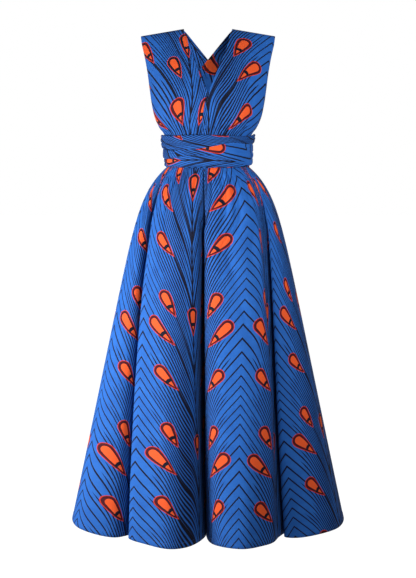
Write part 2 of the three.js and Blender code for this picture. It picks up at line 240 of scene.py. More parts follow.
# the print is rows of feather barbs that fall from crest lines to spines, with drops along the spines
cottonPrint = {
    "repeatAcross": 278,  # from one crest line to the next
    "repeatDown": 348,
    "barbWidths": (3.8, 2.5),
    "barbBend": 2.5,  # how late a barb grows steep on its way to the spine
    "barbDrift": (0.344, 97, 0.458),  # how unevenly barbs are spaced, where they are widest, and their phase
    "forkStart": (0.3, 0.13),  # where a second barb forks off between two, and how unevenly
    "forkEnd": 0.93,
    "forkTaper": 9.0,  # how fast it grows and fades
    "forkStep": 2.4,  # from one fork's unevenness to the next
    "forkWidth": 0.95,  # as a share of a barb's width
    "spineWidth": 4.2,
    "stemWidth": 3.6,
    "stemOverlap": 3,
    "ground": (0.0105, 0.082, 0.335),
    "groundLight": (0.0155, 0.108, 0.405),
    "ink": (0.0022, 0.0030, 0.0125),
    "outline": (0.44, 0.026, 0.012),
    "ring": (0.046, 0.0022, 0.0080),
    "fill": (0.64, 0.078, 0.016),
    "bleed": 0.35,  # how soft a printed edge is
    "dropTaper": 1.55,  # how full a drop stays towards its tip
    "dropReach": (0.4, 0.6),  # shares of the repeat above and below a head that its drop may fill
    "dropEdges": (2.0, 8.4, 5.0),  # the outline, and how far in the ring reaches at the head and at the tip
    "bandPlace": 0.47,  # the dark band across a drop: its share of the way to the tip
    "bandBend": 36,
    "bandWidth": 9.5,
    "mottle": {"Scale": 26, "Detail": 4, "Roughness": 0.65},
    "mottleContrast": (2.2, -0.6),
}
# each drop's head from the crest line and down the repeat, length to the tip, head radius, lean and ring
dropTable = {
    "nearDrop": (40, 71, 78, 19, 45, "ring"),
    "middleDrop": (57, 197, 64, 18, 42, "ring"),
    "farDrop": (72, 0, 58, 17.5, 27, "ring"),
    "spineDrop": (139, 40, 60, 15.5, 0, "ink"),
}
# the same on one shoulder, where the drops lie close to the spine on both its sides
shoulderDrops = {
    "neckDrop": (137, 49, 70, 16.5, -1, "ink"),
    "upperDrop": (181, 117, 61, 17.5, -16, "ink"),
    "edgeDrop": (260, 41, 65, 17, -23, "ring"),
    "lowerDrop": (177, 241, 62, 17.5, -18, "ring"),
    "innerDrop": (101, 260, 56, 16.5, 15, "ring"),
    "lowEdgeDrop": (266, 225, 82, 13, -38, "ring"),
    "sliverDrop": (102, 153, 34, 14, 22, "ring"),
    "cutDrop": (299, 116, 63, 12, -44, "ring"),
}
charts = {
    # barb slopes are at the crest line, and how much steeper at the spine
    "featherPrint": {
        "drops": dropTable,
        "mirrored": True,
        "barbsPerRepeat": 12,
        "barbSlopes": (1.2, 3.8),
    },
    "shoulderPrint": {
        "drops": shoulderDrops,
        "mirrored": False,
        "barbsPerRepeat": 10,
        "barbSlopes": (1.5, 3.2),
    },
}
socketKinds = {"Vector": "NodeSocketVector", "Color": "NodeSocketColor", "Ring": "NodeSocketColor"}


def calculator(tree):
    # math nodes as functions, the four commonest ones by their own names
    def calc(operation, *values, clamp=False):
        inputs = dict(enumerate(values))
        return addNode(tree, "ShaderNodeMath", inputs, operation=operation, use_clamp=clamp).outputs[0]

    return calc, *(partial(calc, name) for name in ("ADD", "SUBTRACT", "MULTIPLY", "DIVIDE"))


def colourMixer(tree):
    def blendColours(share, under, over):
        under, over = ((*colour, 1) if isinstance(colour, tuple) else colour for colour in (under, over))
        return addNode(tree, "ShaderNodeMix", {0: share, 6: under, 7: over}, data_type="RGBA").outputs[2]

    return blendColours


def newGroup(name, inputs, outputs):
    tree = bpy.data.node_groups.new(name, "ShaderNodeTree")
    for way, sockets in (("INPUT", inputs), ("OUTPUT", outputs)):
        for socket in sockets:
            kind = socketKinds.get(socket, "NodeSocketFloat")
            tree.interface.new_socket(socket, in_out=way, socket_type=kind)
    return tree, tree.nodes.new("NodeGroupInput"), tree.nodes.new("NodeGroupOutput")


def makeDropGroup():
    made = cottonPrint
    inputs = ("Across", "Down", "Length", "Radius", "Lean", "Ring")
    tree, given, result = newGroup("printedDrop", inputs, ("Color", "Mask"))
    calc, plus, minus, times, per = calculator(tree)
    blendColours = colourMixer(tree)
    across, down, length, radius, lean, ringColour = (given.outputs[name] for name in inputs)
    sine, cosine = calc("SINE", lean), calc("COSINE", lean)
    along = plus(times(across, sine), times(down, cosine))
    aside = minus(times(across, cosine), times(down, sine))
    share = per(calc("MAXIMUM", along, 0.0), length)
    width = times(radius, minus(1.0, calc("POWER", share, made["dropTaper"])))
    behind = calc("MINIMUM", along, 0.0)
    fromAxis = calc("SQRT", plus(times(behind, behind), times(aside, aside)))
    depth = minus(width, fromAxis)  # how far inside the drop's edge

    def inside(edge, value=depth):
        return per(minus(value, edge), made["bleed"] * mm, clamp=True)

    edge, ringHead, ringTip = (width * mm for width in made["dropEdges"])
    ringWidth = calc("MULTIPLY_ADD", share, ringTip - ringHead, ringHead)
    bend = times(times(aside, aside), made["bandBend"])
    fromBand = minus(along, plus(times(length, made["bandPlace"]), bend))
    band = inside(0.0, minus(made["bandWidth"] / 2 * mm, calc("ABSOLUTE", fromBand)))
    colour = blendColours(inside(edge), made["outline"], ringColour)
    colour = blendColours(inside(ringWidth), colour, made["fill"])
    colour = blendColours(times(band, inside(edge)), colour, made["ink"])
    tree.links.new(colour, result.inputs["Color"])
    tree.links.new(inside(0.0), result.inputs["Mask"])
    return tree


def makePrintGroup(name, dropGroup):
    chart = charts[name]
    made = {**cottonPrint, **chart}
    half, high = made["repeatAcross"] / 2 * mm, made["repeatDown"] * mm
    slope, steeper = made["barbSlopes"]
    bend = made["barbBend"]
    unevenness, widest, phase = made["barbDrift"]
    tree, given, result = newGroup(name, ("Vector",), ("Color",))
    calc, plus, minus, times, per = calculator(tree)
    blendColours = colourMixer(tree)
    onCloth = given.outputs[0]
    place = addNode(tree, "ShaderNodeSeparateXYZ", {0: onCloth})
    across = calc("PINGPONG", place.outputs[0], half)
    down = place.outputs[1]
    share = per(across, half)
    steepness = calc("MULTIPLY_ADD", calc("POWER", share, bend), steeper, slope)
    lean = calc("SQRT", calc("MULTIPLY_ADD", steepness, steepness, 1.0))

    def fallOf(x):
        return half * (slope * x + steeper / (bend + 1) * x ** (bend + 1))

    curved = times(calc("POWER", share, bend + 1), half * steeper / (bend + 1))
    fall = plus(times(share, half * slope), curved)
    level = minus(down, fall)
    swing = calc("SINE", times(minus(level, widest * mm), 2 * math.pi / high))
    count = minus(times(level, made["barbsPerRepeat"] / high), phase)
    count = minus(count, times(swing, unevenness))
    wide, fine = made["barbWidths"]
    halfWidth = calc("MULTIPLY_ADD", share, (fine - wide) / 2 * mm, wide / 2 * mm)

    def printed(width, distance):
        return per(minus(width, distance), made["bleed"] * mm, clamp=True)

    def fromBarb(number):
        away = times(calc("PINGPONG", number, 0.5), high / made["barbsPerRepeat"])
        return per(away, lean)

    ink = printed(halfWidth, fromBarb(count))
    forkStart, forkUneven = made["forkStart"]
    forkCount = times(calc("FLOOR", count), made["forkStep"])
    forkAt = calc("MULTIPLY_ADD", calc("SINE", forkCount), forkUneven, forkStart)
    grown = times(minus(share, forkAt), made["forkTaper"], clamp=True)
    beside = times(minus(made["forkEnd"], share), made["forkTaper"], clamp=True)
    grown = calc("MINIMUM", grown, beside)
    forkWidth = times(times(halfWidth, made["forkWidth"]), grown)
    fork = printed(forkWidth, fromBarb(plus(count, 0.5)))
    ink = calc("MAXIMUM", ink, times(fork, calc("GREATER_THAN", grown, 0.0)))
    ink = calc("MAXIMUM", ink, printed(made["spineWidth"] / 2 * mm, minus(half, across)))

    # a stem from each leaning drop's tip to the spine
    outerSide = calc("GREATER_THAN", place.outputs[0], half)
    for headAcross, headDown, length, radius, leaning, ring in chart["drops"].values():
        if leaning == 0:
            continue
        tip = headAcross + length * math.sin(math.radians(leaning))
        outer = tip * mm > half
        tip = min(tip, made["repeatAcross"] - tip)
        tipLevel = headDown + length * math.cos(math.radians(leaning))
        start = tipLevel * mm - fallOf(tip * mm / half)
        fromStem = calc("ABSOLUTE", calc("WRAP", minus(level, start), high / 2, -high / 2))
        stem = printed(made["stemWidth"] / 2 * mm, per(fromStem, lean))
        past = calc("GREATER_THAN", across, (tip - made["stemOverlap"]) * mm)
        if not chart["mirrored"]:
            past = times(past, outerSide if outer else minus(1.0, outerSide))
        ink = calc("MAXIMUM", ink, times(stem, past))

    mottle = addNode(tree, "ShaderNodeTexNoise", {"Vector": onCloth, **made["mottle"]})
    light = calc("MULTIPLY_ADD", mottle.outputs[0], *made["mottleContrast"], clamp=True)
    colour = blendColours(light, made["ground"], made["groundLight"])
    colour = blendColours(ink, colour, made["ink"])
    dropAcross = across if chart["mirrored"] else place.outputs[0]
    above, below = made["dropReach"]
    for dropName, (headAcross, headDown, length, radius, leaning, ring) in chart["drops"].items():
        inputs = {
            "Across": minus(dropAcross, headAcross * mm),
            "Down": calc("WRAP", minus(down, headDown * mm), high * below, -high * above),
            "Length": length * mm,
            "Radius": radius * mm,
            "Lean": math.radians(leaning),
            "Ring": (*made[ring], 1),
        }
        motif = addNode(tree, "ShaderNodeGroup", inputs, node_tree=dropGroup, label=dropName)
        colour = blendColours(motif.outputs["Mask"], colour, motif.outputs["Color"])
    tree.links.new(colour, result.inputs["Color"])
    return tree


cottonFinish = {"Roughness": 0.72, "Sheen Weight": 0.02, "Sheen Roughness": 0.5, "Specular IOR Level": 0.14}
cottonWeave = {
    "threads": 2100,  # threads to a metre
    "threadDepth": 0.00009,
    "slub": {"Scale": 260, "Detail": 2},
    "crease": {"Scale": 17, "Detail": 3, "Roughness": 0.45},
    "creaseDepth": 0.0011,
    "bump": 0.8,
}


def makeCotton(name, printGroup):
    made = cottonWeave
    cotton, tree, shader = newMaterial(name, cottonFinish)
    calc, _, _, times, _ = calculator(tree)
    onCloth = addNode(tree, "ShaderNodeUVMap", uv_map="clothPlace").outputs[0]
    pattern = addNode(tree, "ShaderNodeGroup", {0: onCloth}, node_tree=printGroup)
    tree.links.new(pattern.outputs["Color"], shader.inputs["Base Color"])

    place = addNode(tree, "ShaderNodeSeparateXYZ", {0: onCloth})
    turns = made["threads"] * 2 * math.pi
    warp, weft = (calc("SINE", times(place.outputs[axis], turns)) for axis in (0, 1))
    weave = times(times(warp, weft), made["threadDepth"])
    slub, crease = (
        addNode(tree, "ShaderNodeTexNoise", {"Vector": onCloth, **made[kind]}) for kind in ("slub", "crease")
    )
    height = calc("MULTIPLY_ADD", slub.outputs[0], made["threadDepth"], weave)
    height = calc("MULTIPLY_ADD", crease.outputs[0], made["creaseDepth"], height)
    bump = addNode(tree, "ShaderNodeBump", {"Height": height, "Distance": 1.0, "Strength": made["bump"]})
    tree.links.new(bump.outputs[0], shader.inputs["Normal"])
    return cotton


threadFinish = {"Roughness": 0.5, "Sheen Weight": 0.2}
threadLook = {"twistScale": 700, "dark": (0.01, 0.03, 0.16), "light": (0.03, 0.09, 0.38)}


def makeThread():
    thread, tree, shader = newMaterial("blueThread", threadFinish)
    where = addNode(tree, "ShaderNodeTexCoord").outputs["Object"]
    twist = addNode(tree, "ShaderNodeTexNoise", {"Vector": where, "Scale": threadLook["twistScale"]})
    colour = colourMixer(tree)(twist.outputs[0], threadLook["dark"], threadLook["light"])
    tree.links.new(colour, shader.inputs["Base Color"])
    return thread


printedDrop = makeDropGroup()
cottonCloth = makeCotton("waxPrintedCotton", makePrintGroup("featherPrint", printedDrop))
shoulderCloth = makeCotton("waxPrintedShoulder", makePrintGroup("shoulderPrint", printedDrop))
blueThread = makeThread()
print("printed cotton made")


# every piece of cloth is a thin closed shell
cloth = {"wall": 0.8, "hemWall": 1.5, "seam": 0.3}


def makeCloth(name, outer, inner, place, closed=False, material=cottonCloth):
    # outer and inner are grids (rows, columns, 3), and place is (rows, columns, 2) on the flat cloth
    rows, columns = outer.shape[:2]
    points = np.concatenate([outer.reshape(-1, 3), inner.reshape(-1, 3)]) * mm
    spans = columns if closed else columns - 1

    # the four corners of each face, as its side of the cloth, row and column
    r, c = (index.ravel() for index in np.meshgrid(np.arange(rows - 1), np.arange(spans), indexing="ij"))
    patches = [
        ((0, r, c), (0, r + 1, c), (0, r + 1, c + 1), (0, r, c + 1)),
        ((1, r, c + 1), (1, r + 1, c + 1), (1, r + 1, c), (1, r, c)),
    ]
    c = np.arange(spans)
    for row, a, b in ((0, c, c + 1), (rows - 1, c + 1, c)):
        patches.append(((0, row, a), (0, row, b), (1, row, b), (1, row, a)))
    if not closed:
        r = np.arange(rows - 1)
        for column, a, b in ((0, r + 1, r), (columns - 1, r, r + 1)):
            patches.append(((0, a, column), (0, b, column), (1, b, column), (1, a, column)))

    def vertexAt(side, row, column):
        return side * rows * columns + row * columns + column % columns

    def placeAt(side, row, column):
        return row * (spans + 1) + column

    quads, where = (
        np.concatenate([np.stack([find(*spot) for spot in patch], axis=1) for patch in patches])
        for find in (vertexAt, placeAt)
    )
    p = points[quads]
    volume = np.einsum("ij,ij->i", p[:, 0], np.cross(p[:, 1], p[:, 2]) + np.cross(p[:, 2], p[:, 3])).sum()
    if volume < 0:
        quads, where = quads[:, ::-1], where[:, ::-1]

    mesh = bpy.data.meshes.new(name)
    mesh.vertices.add(len(points))
    mesh.vertices.foreach_set("co", points.ravel())
    mesh.loops.add(quads.size)
    mesh.loops.foreach_set("vertex_index", quads.ravel().astype(np.int32))
    mesh.polygons.add(len(quads))
    mesh.polygons.foreach_set("loop_start", np.arange(0, quads.size, 4, dtype=np.int32))
    mesh.polygons.foreach_set("use_smooth", np.ones(len(quads), dtype=bool))
    layer = mesh.uv_layers.new(name="clothPlace")
    layer.data.foreach_set("uv", (place.reshape(-1, 2)[where.ravel()] * mm).ravel())
    mesh.update(calc_edges=True)
    mesh.validate()
    mesh.materials.append(material)
    return putInScene(name, mesh)


creaseShape = {
    "wander": (90, 0.7),  # how long its waves are, and how they shift from crease to crease
    "sidePower": 1.6,
    "fadePower": 1.4,
    "depthPower": 0.8,
    "widths": (0.75, 1.3),  # shares of the usual width and rise
    "rises": (0.7, 1.4),
    "margins": (0.5, 0.4),  # shares of the spacing that stay free at the two ends
}


def troughs(across, down, rows):
    # soft creases: each row has its place across, depth, width and how far down it starts, peaks and fades
    waves, shift = creaseShape["wander"]
    height = np.zeros(np.broadcast(across, down).shape)
    for crease in rows:
        wander = crease["wander"] * np.sin(down / waves + crease["place"] * shift)
        away = np.abs(across - crease["place"] - wander - crease["drift"] * down) / crease["width"]
        grow = ease((down - crease["start"]) / crease["rise"])
        past = np.maximum(down - crease["start"] - crease["rise"], 0) / crease["reach"]
        fade = np.exp(-(past ** creaseShape["fadePower"]))
        height -= crease["depth"] * np.exp(-(away ** creaseShape["sidePower"])) * grow * fade
    return height


def puffed(made, away):
    # how far cloth stands off beside a gathered edge, at a distance away from it
    return made["height"] * ease(away / made["rise"]) * np.exp(-away / made["fade"])


def fadedAtEdges(u, edge):
    return ease(u / edge) * ease((1 - u) / edge)


def gatherRows(made, length):
    # gathers at an uneven spacing along a gathered edge of that length
    dice = np.random.default_rng(made["seed"])
    rows = []
    first, last = (made["spacing"] * margin for margin in creaseShape["margins"])
    place = first
    while place < length - last:
        strong = dice.random()
        rows.append(
            {
                "place": place,
                "depth": mix(*made["depth"], strong ** creaseShape["depthPower"]),
                "width": made["width"] * mix(*creaseShape["widths"], dice.random()),
                "start": made["start"],
                "rise": made["rise"] * mix(*creaseShape["rises"], dice.random()),
                "reach": mix(*made["reach"], strong * dice.random() ** 0.5),
                "drift": made["drift"] * mix(-1, 1, dice.random()),
                "wander": made["wander"] * dice.random(),
            }
        )
        place += made["spacing"] * (1 + made["unevenness"] * mix(-1, 1, dice.random()))
    return rows


def printOn(anchors, shares, at, knotAt):
    # how far across the print each point lies, and how far the print has slid down it, one row at a time
    across, slide = np.zeros_like(at), np.zeros_like(at)
    values = np.array([repeats * cottonPrint["repeatAcross"] for place, repeats, slid in anchors])
    for row, share in enumerate(shares):
        knots = np.array([knotAt(row, between(place, share * 2)) for place, repeats, slid in anchors])
        across[row] = throughAnchors(at[row], knots, values)
        slide[row] = np.interp(at[row], knots, [between(slid, share * 2) for place, repeats, slid in anchors])
    return across, slide


levels = {
    "neckSide": -1.5,
    "shoulderTip": -21.5,
    "bandTop": -325,
    "bandFoot": -381,
    "frontDip": 4,
    "hem": -1362,
    "hemRise": 22,
}
waist = {"halfWidth": 113, "front": 86, "back": 84, "power": 2.3}
hem = {"halfWidth": 371, "front": 198, "back": 198}
flare = {"atHip": 0.229, "hipDrop": 65}
crotch = {
    "curveStart": 130,
    "drop": 250,
    "inseamY": 12,
    "inseamX": 12,
    "seamAside": -7,  # how far the centre seams lie aside at the waist
    "skew": 5,  # and aside of each other, at this depth in front and behind
    "skewDepth": 90,
    "notchX": 0.4,
    "allowance": 9,  # turned in behind the centre seams
}
legLength = levels["bandFoot"] - levels["hem"]

legFolds = {
    # a fold's turn on the waist in degrees, and its place half way down the leg and at the hem
    "right": {
        "front notch": (0.6, 3, -16, 4, -93),
        "inner corner": (4, 32, -129, 48, -182),
        "front crest": (20, 90, -145, 95, -198),
        "front brow": (37, 146, -126, 156, -165),
        "front edge": (50, 184, -98, 206, -120),
        "front tuck": (57, 146, -36, 180, -66),
        "side crest": (66, 206, -88, 245, -122),
        "side brow": (78, 254, -64, 343, -84),
        "side seam": (90, 271, 0, 371, 0),
        "rear side brow": (102, 256, 62, 345, 80),
        "rear side crest": (115, 204, 85, 256, 118),
        "rear tuck": (124, 149, 38, 180, 66),
        "rear edge": (130, 177, 89, 210, 122),
        "rear brow": (144, 141, 125, 161, 172),
        "rear crest": (160, 84, 140, 98, 197),
        "rear corner": (175, 29, 123, 39, 174),
        "rear notch": (179.4, 3, 40, 4, 112),
    },
    "left": {
        "front notch": (0.6, 3, -16, 4, -93),
        "inner corner": (1.4, 4, -124, 21, -165),
        "front crest": (18, 86, -145, 92, -198),
        "front brow": (34, 143, -134, 149, -172),
        "front border": (41, 163, -118, 171, -152),
        "front flank": (47, 166, -78, 190, -108),
        "front tuck": (54, 196, -32, 221, -60),
        "side edge": (61, 181, -84, 206, -112),
        "side crest": (69, 211, -89, 245, -123),
        "side brow": (80, 254, -66, 343, -86),
        "side seam": (90, 271, 0, 371, 0),
        "rear side brow": (101, 256, 64, 344, 82),
        "rear side crest": (113, 202, 88, 251, 121),
        "rear tuck": (122, 150, 40, 178, 70),
        "rear edge": (128, 175, 92, 204, 126),
        "rear brow": (143, 137, 126, 155, 174),
        "rear crest": (159, 80, 138, 90, 195),
        "rear corner": (175, 27, 121, 35, 172),
        "rear notch": (179.4, 3, 40, 4, 112),
    },
}

legDetail = {
    "columns": 200,
    "rows": 140,
    "rowEase": 1.3,
    "traced": 1500,  # points that each row is first traced with
    "hemDepth": 15,
    "flattest": 0.05,  # so that the print stays whole where the cloth lies nearly level
    "seamShare": 0.04,  # the share of a panel's width where its folds fade into the seams
}
legGathers = {
    "spacing": 9.5,
    "unevenness": 0.45,
    "depth": (1.4, 6.4),
    "width": 2.9,
    "start": 2,
    "rise": 22,
    "reach": (28, 190),
    "drift": 0.012,
    "wander": 1.0,
}
legSoftFolds = {
    "spacing": 30,
    "unevenness": 0.3,
    "depth": (1.5, 5.0),
    "width": 6.5,
    "start": 40,
    "rise": 110,
    "reach": (120, 460),
    "drift": 0.01,
    "wander": 2.0,
}
legPuff = {"height": 1.0, "rise": 26, "fade": 140}
# the print on each panel: each anchor's place in the table of folds, the repeats counted from the front crest
# line, and how far down the print has slid, each place and slide at the waist, half way and at the hem
legPrint = {
    "right front": {
        "anchors": [
            ((2.35, 1.97, 1.48), -0.5, (8, 0, 34)),
            ((3.35, 2.72, 2.52), -0.354, (3, 0, 30)),
            ((4.1, 3.53, 3.25), -0.205, (2, 3, 24)),
            ((4.95, 4.54, 4.66), 0.0, (2, 5, 18)),
            ((6.3, 6.7, 6.78), 0.65, (0, -6, -4)),
            ((7.3, 7.2, 7.22), 0.795, (-4, -10, -10)),
            ((8.1, 8.27, 8.2), 1.0, (-4, -10, -12)),
        ],
        "seed": 5,
    },
    "left front": {
        "anchors": [
            ((0.7, 1.6, 1.6), -0.5, (100, -4, 12)),
            ((1.6, 1.92, 1.86), -0.395, (8, -4, 13)),
            ((2.95, 2.45, 2.28), -0.205, (4, -5, 14)),
            ((4.05, 3.12, 2.86), 0.0, (8, -6, 10)),
            ((6.2, 3.78, 3.46), 0.144, (12, -8, 4)),
            ((6.75, 5.0, 4.75), 0.345, (16, -8, 6)),
            ((8.5, 8.2, 8.72), 1.0, (18, 8, 36)),
            ((9.3, 9.3, 9.48), 1.205, (18, 8, 42)),
            ((9.8, 9.8, 9.78), 1.35, (18, 10, 42)),
        ],
        "seed": 8,
    },
    "right back": {
        "anchors": [
            ((9.6, 9.9, 10.0), 1, (60, 60, 60)),
            ((13.4, 13.4, 13.4), 2, (40, 40, 40)),
            ((17.6, 17.6, 17.6), 2.7, (40, 40, 40)),
        ],
        "seed": 13,
    },
    "left back": {
        "anchors": [
            ((11.6, 11.9, 12.0), 1, (-30, -30, -30)),
            ((15.4, 15.4, 15.4), 2, (-10, -10, -10)),
            ((19.6, 19.6, 19.6), 2.7, (-10, -10, -10)),
        ],
        "seed": 21,
    },
}


def legForm(share):
    drop = share * legLength
    opened = flare["atHip"] * (1 - np.exp(-drop / flare["hipDrop"])) + (1 - flare["atHip"]) * share
    sizes = {key: mix(waist[key], hem[key], opened) for key in ("halfWidth", "front", "back")}
    return {"drop": drop, **sizes}


def course(waistValue, midValue, hemValue, share):
    return (
        waistValue * (1 - share) * (1 - 2 * share)
        + midValue * 4 * share * (1 - share)
        + hemValue * share * (2 * share - 1)
    )


def legSection(which, share):
    here, half = legForm(share), legForm(0.5)
    folds = list(legFolds[which].values())
    points = np.zeros((len(share), len(folds) + 2, 3))
    for i, (turn, midX, midY, hemX, hemY) in enumerate(folds):
        side = "front" if hemY < 0 else "back"
        startX, startY = oval(turn, 1, 1, 1, waist["power"])
        acrossHere = course(startX, midX / half["halfWidth"], hemX / hem["halfWidth"], share)
        points[:, i + 1, 0] = here["halfWidth"] * acrossHere
        points[:, i + 1, 1] = here[side] * course(startY, midY / half[side], hemY / hem[side], share)
        dip = levels["frontDip"] * max(math.cos(math.radians(turn)), 0) ** 2
        hemLevel = levels["hem"] + levels["hemRise"] * (hemX / hem["halfWidth"]) ** 4
        points[:, i + 1, 2] = mix(levels["bandFoot"] - dip, hemLevel, share)
    formed = ease(here["drop"] / crotch["drop"])
    for notch, beside in ((1, 2), (-2, -3)):
        points[:, notch, 1] = mix(points[:, beside, 1], points[:, notch, 1], formed)
    curved = ease((here["drop"] - crotch["curveStart"]) / (crotch["drop"] - crotch["curveStart"]))
    apart = crotch["inseamX"] * np.clip((here["drop"] - crotch["drop"]) / (legLength - crotch["drop"]), 0, 1)
    for seam, notch, inwards in ((0, 1, 1), (-1, -2, -1)):
        points[:, notch, 0] = cloth["wall"] + cloth["seam"] / 2 + crotch["notchX"]
        points[:, seam, 0] = cloth["wall"] + cloth["seam"] / 2 + apart
        tucked = points[:, notch, 1] + inwards * crotch["allowance"]
        points[:, seam, 1] = mix(tucked, crotch["inseamY"], curved)
        points[:, seam, 2] = points[:, notch, 2]
    return points


def makeLeg(which, face):
    name = f"leg{which.capitalize()}{face.capitalize()}"
    printed = legPrint[f"{which} {face}"]
    side = 1 if which == "left" else -1
    last = len(legFolds[which]) + 1
    seamPlace = 1 + list(legFolds[which]).index("side seam")
    ends = (0, seamPlace) if face == "front" else (seamPlace, last)
    columns, rows = legDetail["columns"], legDetail["rows"]
    share = np.linspace(0, 1, rows + 1) ** legDetail["rowEase"]
    section = legSection(which, share)

    # even columns along each row's arc
    dense = np.linspace(0, last, legDetail["traced"])
    line = curvePoints(section, np.broadcast_to(dense, (rows + 1, len(dense))))
    arc = pathLength(line[..., :2], axis=1)
    start, end = (np.array([np.interp(e, dense, a) for a in arc]) for e in ends)
    fraction = np.linspace(0, 1, columns + 1)
    along = start[:, None] + (end - start)[:, None] * fraction
    place = np.stack([np.interp(want, a, dense) for want, a in zip(along, arc)])
    form = curvePoints(section, place)
    halfWidth = legForm(share)["halfWidth"][:, None]
    aside = crotch["seamAside"] * (1 - share)
    aside = aside[:, None] + crotch["skew"] * np.clip(form[..., 1] / crotch["skewDepth"], -1, 1)
    form[..., 0] = side * form[..., 0] + aside * (1 - np.clip(form[..., 0] / halfWidth, 0, 1))

    normal = -side * gridNormals(form)
    steep = np.sqrt(np.maximum(1 - normal[..., 2] ** 2, legDetail["flattest"]))
    flatNormal = normal * np.array([1, 1, 0])
    flatNormal /= np.linalg.norm(flatNormal, axis=-1, keepdims=True)

    # gathers follow the cloth down from the waist, and longer soft folds hang between them
    drop = (share * legLength)[:, None]
    waistLength = (end - start)[0]
    alongWaist = np.broadcast_to(fraction * waistLength, place.shape)
    gathers = gatherRows({**legGathers, "seed": printed["seed"]}, waistLength)
    softFolds = gatherRows({**legSoftFolds, "seed": printed["seed"] + 100}, waistLength)
    gathered = troughs(alongWaist, drop, gathers) + troughs(alongWaist, drop, softFolds)
    gathered = gathered + puffed(legPuff, drop)
    lift = gathered * fadedAtEdges(fraction, legDetail["seamShare"])

    inHem = (legLength - drop < legDetail["hemDepth"]).astype(float)
    wall = mix(cloth["wall"], cloth["hemWall"], inHem)
    outer = form + flatNormal * (lift + wall)[..., None]
    inner = form + flatNormal * lift[..., None]
    for grid, least in ((outer, cloth["seam"] / 2), (inner, cloth["seam"] / 2 + cloth["wall"])):
        grid[..., 0] = aside + side * np.maximum(side * (grid[..., 0] - aside), least)

    fallen = np.zeros_like(place)
    fallen[1:] = np.cumsum(-np.diff(form[..., 2], axis=0) / steep[1:], axis=0)
    anchors = printed["anchors"]
    across, slide = printOn(anchors, share, along, lambda row, station: np.interp(station, dense, arc[row]))
    return makeCloth(name, outer, inner, np.stack([across, fallen + slide], axis=-1)), outer


legGrids = {}
for which in ("right", "left"):
    for face in ("front", "back"):
        piece, legGrids[f"{which} {face}"] = makeLeg(which, face)
        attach(piece, body)
        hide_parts(f"leg_{which}_{face}")
print("legs made")

# each strap is one length from the front waist over the shoulder to the back waist; its rows give the share
# of the way down, the inner and outer edge, the form's half width there, and how far out the form reaches
strapLevels = {
    "front": [
        (0, 67, 184, 190, 0),
        (0.008, 66, 184, 190, 11),
        (0.03, 64, 183, 189, 21),
        (0.09, 57, 180, 187, 36),
        (0.2, 48, 172, 181, 58),
        (0.34, 29, 164, 173, 84),
        (0.48, 12, 158, 166, 104),
        (0.62, -6, 152, 158, 114),
        (0.74, -13, 144, 149, 111),
        (0.83, -17, 132, 136, 102),
        (0.88, -19, 121, 124, 94),
        (0.93, -20, 114, 116, 88.5),
        (1, -21, 111, 113, 86),
    ],
    "back": [
        (0, 67, 184, 190, 0),
        (0.008, 66, 184, 190, 11),
        (0.03, 58, 183, 189, 21),
        (0.09, 40, 180, 187, 38),
        (0.2, 9, 170, 180, 58),
        (0.34, -29, 148, 168, 75),
        (0.48, -64, 118, 155, 84),
        (0.62, -90, 86, 143, 88),
        (0.76, -106, 55, 132, 88),
        (0.89, -110, 28, 120, 86),
        (1, -107, 8, 113, 84),
    ],
}
strapDetail = {
    "columns": 76,
    "frontRows": 110,
    "backRows": 90,
    "frontLift": 3,  # of the upper strap over the lower one
    "frontCross": (60, 30),  # how far aside of the centre it lasts, and how softly it ends
    "frontRise": (0.5, 0.15),  # the share of the way down where it begins, and how softly
    "backLift": 3.4,
    "backRise": (0.02, 0.1),
    "backMove": 0.3,  # the share of the way down the back where the print has moved
    "edgeShare": 0.05,
}
strapGathers = {
    "spacing": 9.5,
    "unevenness": 0.4,
    "depth": (1.0, 4.2),
    "width": 2.8,
    "start": 0,
    "rise": 9,
    "reach": (18, 120),
    "drift": 0.03,
    "wander": 1.2,
}
strapLongFolds = {
    "spacing": 27,
    "unevenness": 0.4,
    "depth": (1.2, 4.4),
    "width": 6,
    "start": 10,
    "rise": 45,
    "reach": (50, 190),
    "drift": 0.05,
    "wander": 3,
}
strapPuff = {"height": 2.0, "rise": 20, "fade": 60}
# each anchor's place as a share of the strap's width, the repeats counted there, and how far down the print
# has slid, each place and slide at the shoulder, half way and at the waist
strapPrint = {
    "right": {
        "anchors": [
            ((0.03, 0.18, 0.44), 0.5, (0, 0, 0)),
            ((1.0, 1.0, 1.05), 0.95, (0, 0, 0)),
        ],
        "back": {"across": 0, "down": 0, "scale": 1},
        "seed": 31,
    },
    "left": {
        "anchors": [
            ((-0.45, -0.05, 0.15), 0.5, (-60, -62, -80)),
            ((0.0, 0.36, 0.44), 0.65, (-60, -58, -74)),
            ((0.46, 0.6, 0.66), 0.795, (-56, -47, -50)),
            ((0.945, 0.945, 0.97), 1.0, (-50, -47, -46)),
        ],
        "back": {"across": 40, "down": 54, "scale": 1.5},  # how the print has moved on the back
        "seed": 37,
    },
}


